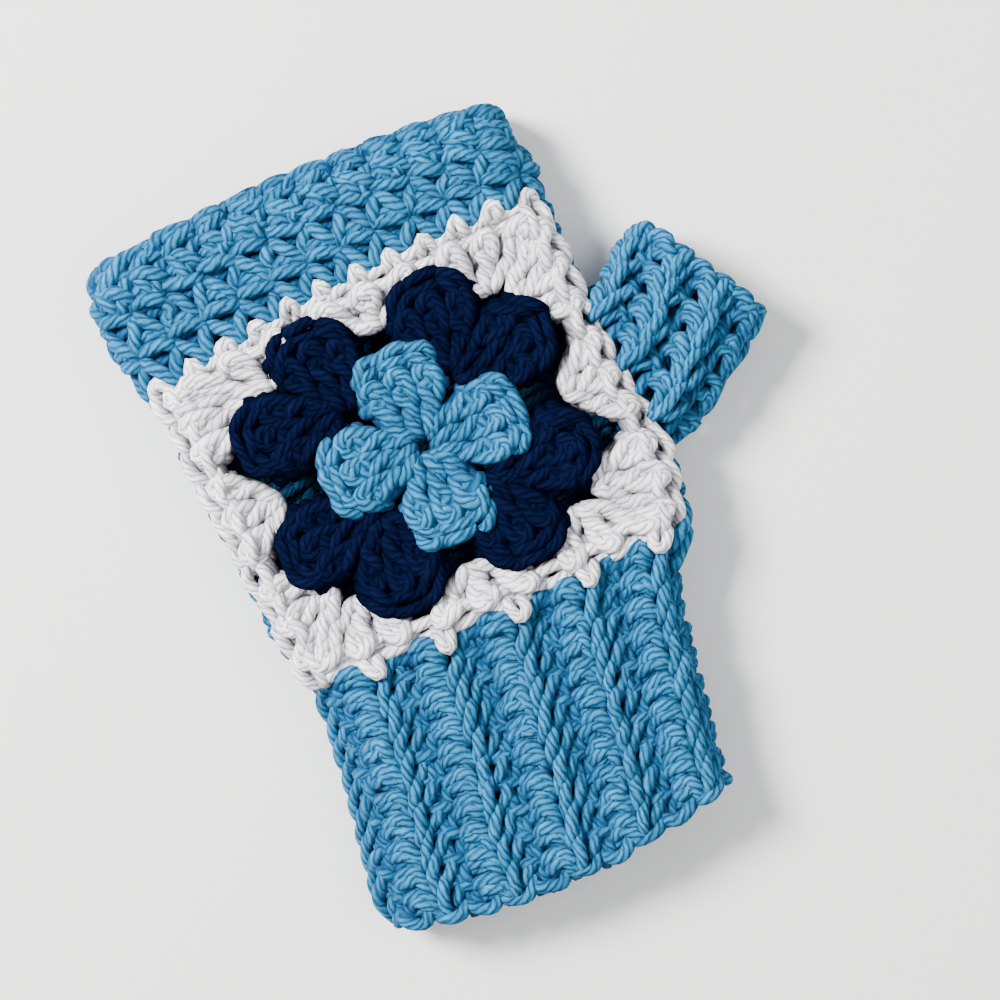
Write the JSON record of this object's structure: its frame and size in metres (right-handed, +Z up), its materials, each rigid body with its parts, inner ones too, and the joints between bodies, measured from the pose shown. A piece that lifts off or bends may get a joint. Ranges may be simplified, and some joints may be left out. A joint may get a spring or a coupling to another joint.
{
  "type": "crochet glove",
  "caption": "Fingerless crochet glove with a ribbed cuff, a granny square on the back of the hand, a knuckle band and a short thumb sleeve.",
  "frame": {"origin": "under the middle of the glove's overall box, on the surface that the palm side lies on", "axes": "+Y from the wrist edge to the knuckle edge, +X towards the thumb, +Z up out of the back of the hand"},
  "size_m": [0.1444, 0.1748, 0.0201],
  "materials": {
    "light_blue_yarn": "matte soft yarn",
    "navy_yarn": "matte soft yarn",
    "white_yarn": "matte soft yarn"
  },
  "bodies": {
    "root": {"wrist_cuff": "light_blue_yarn", "palm_panel": "light_blue_yarn", "flower_round": "light_blue_yarn", "petal_round": "navy_yarn", "border_round": "white_yarn", "knuckle_band": "light_blue_yarn", "thumb_sleeve": "light_blue_yarn"}
  },
  "joints": []
}
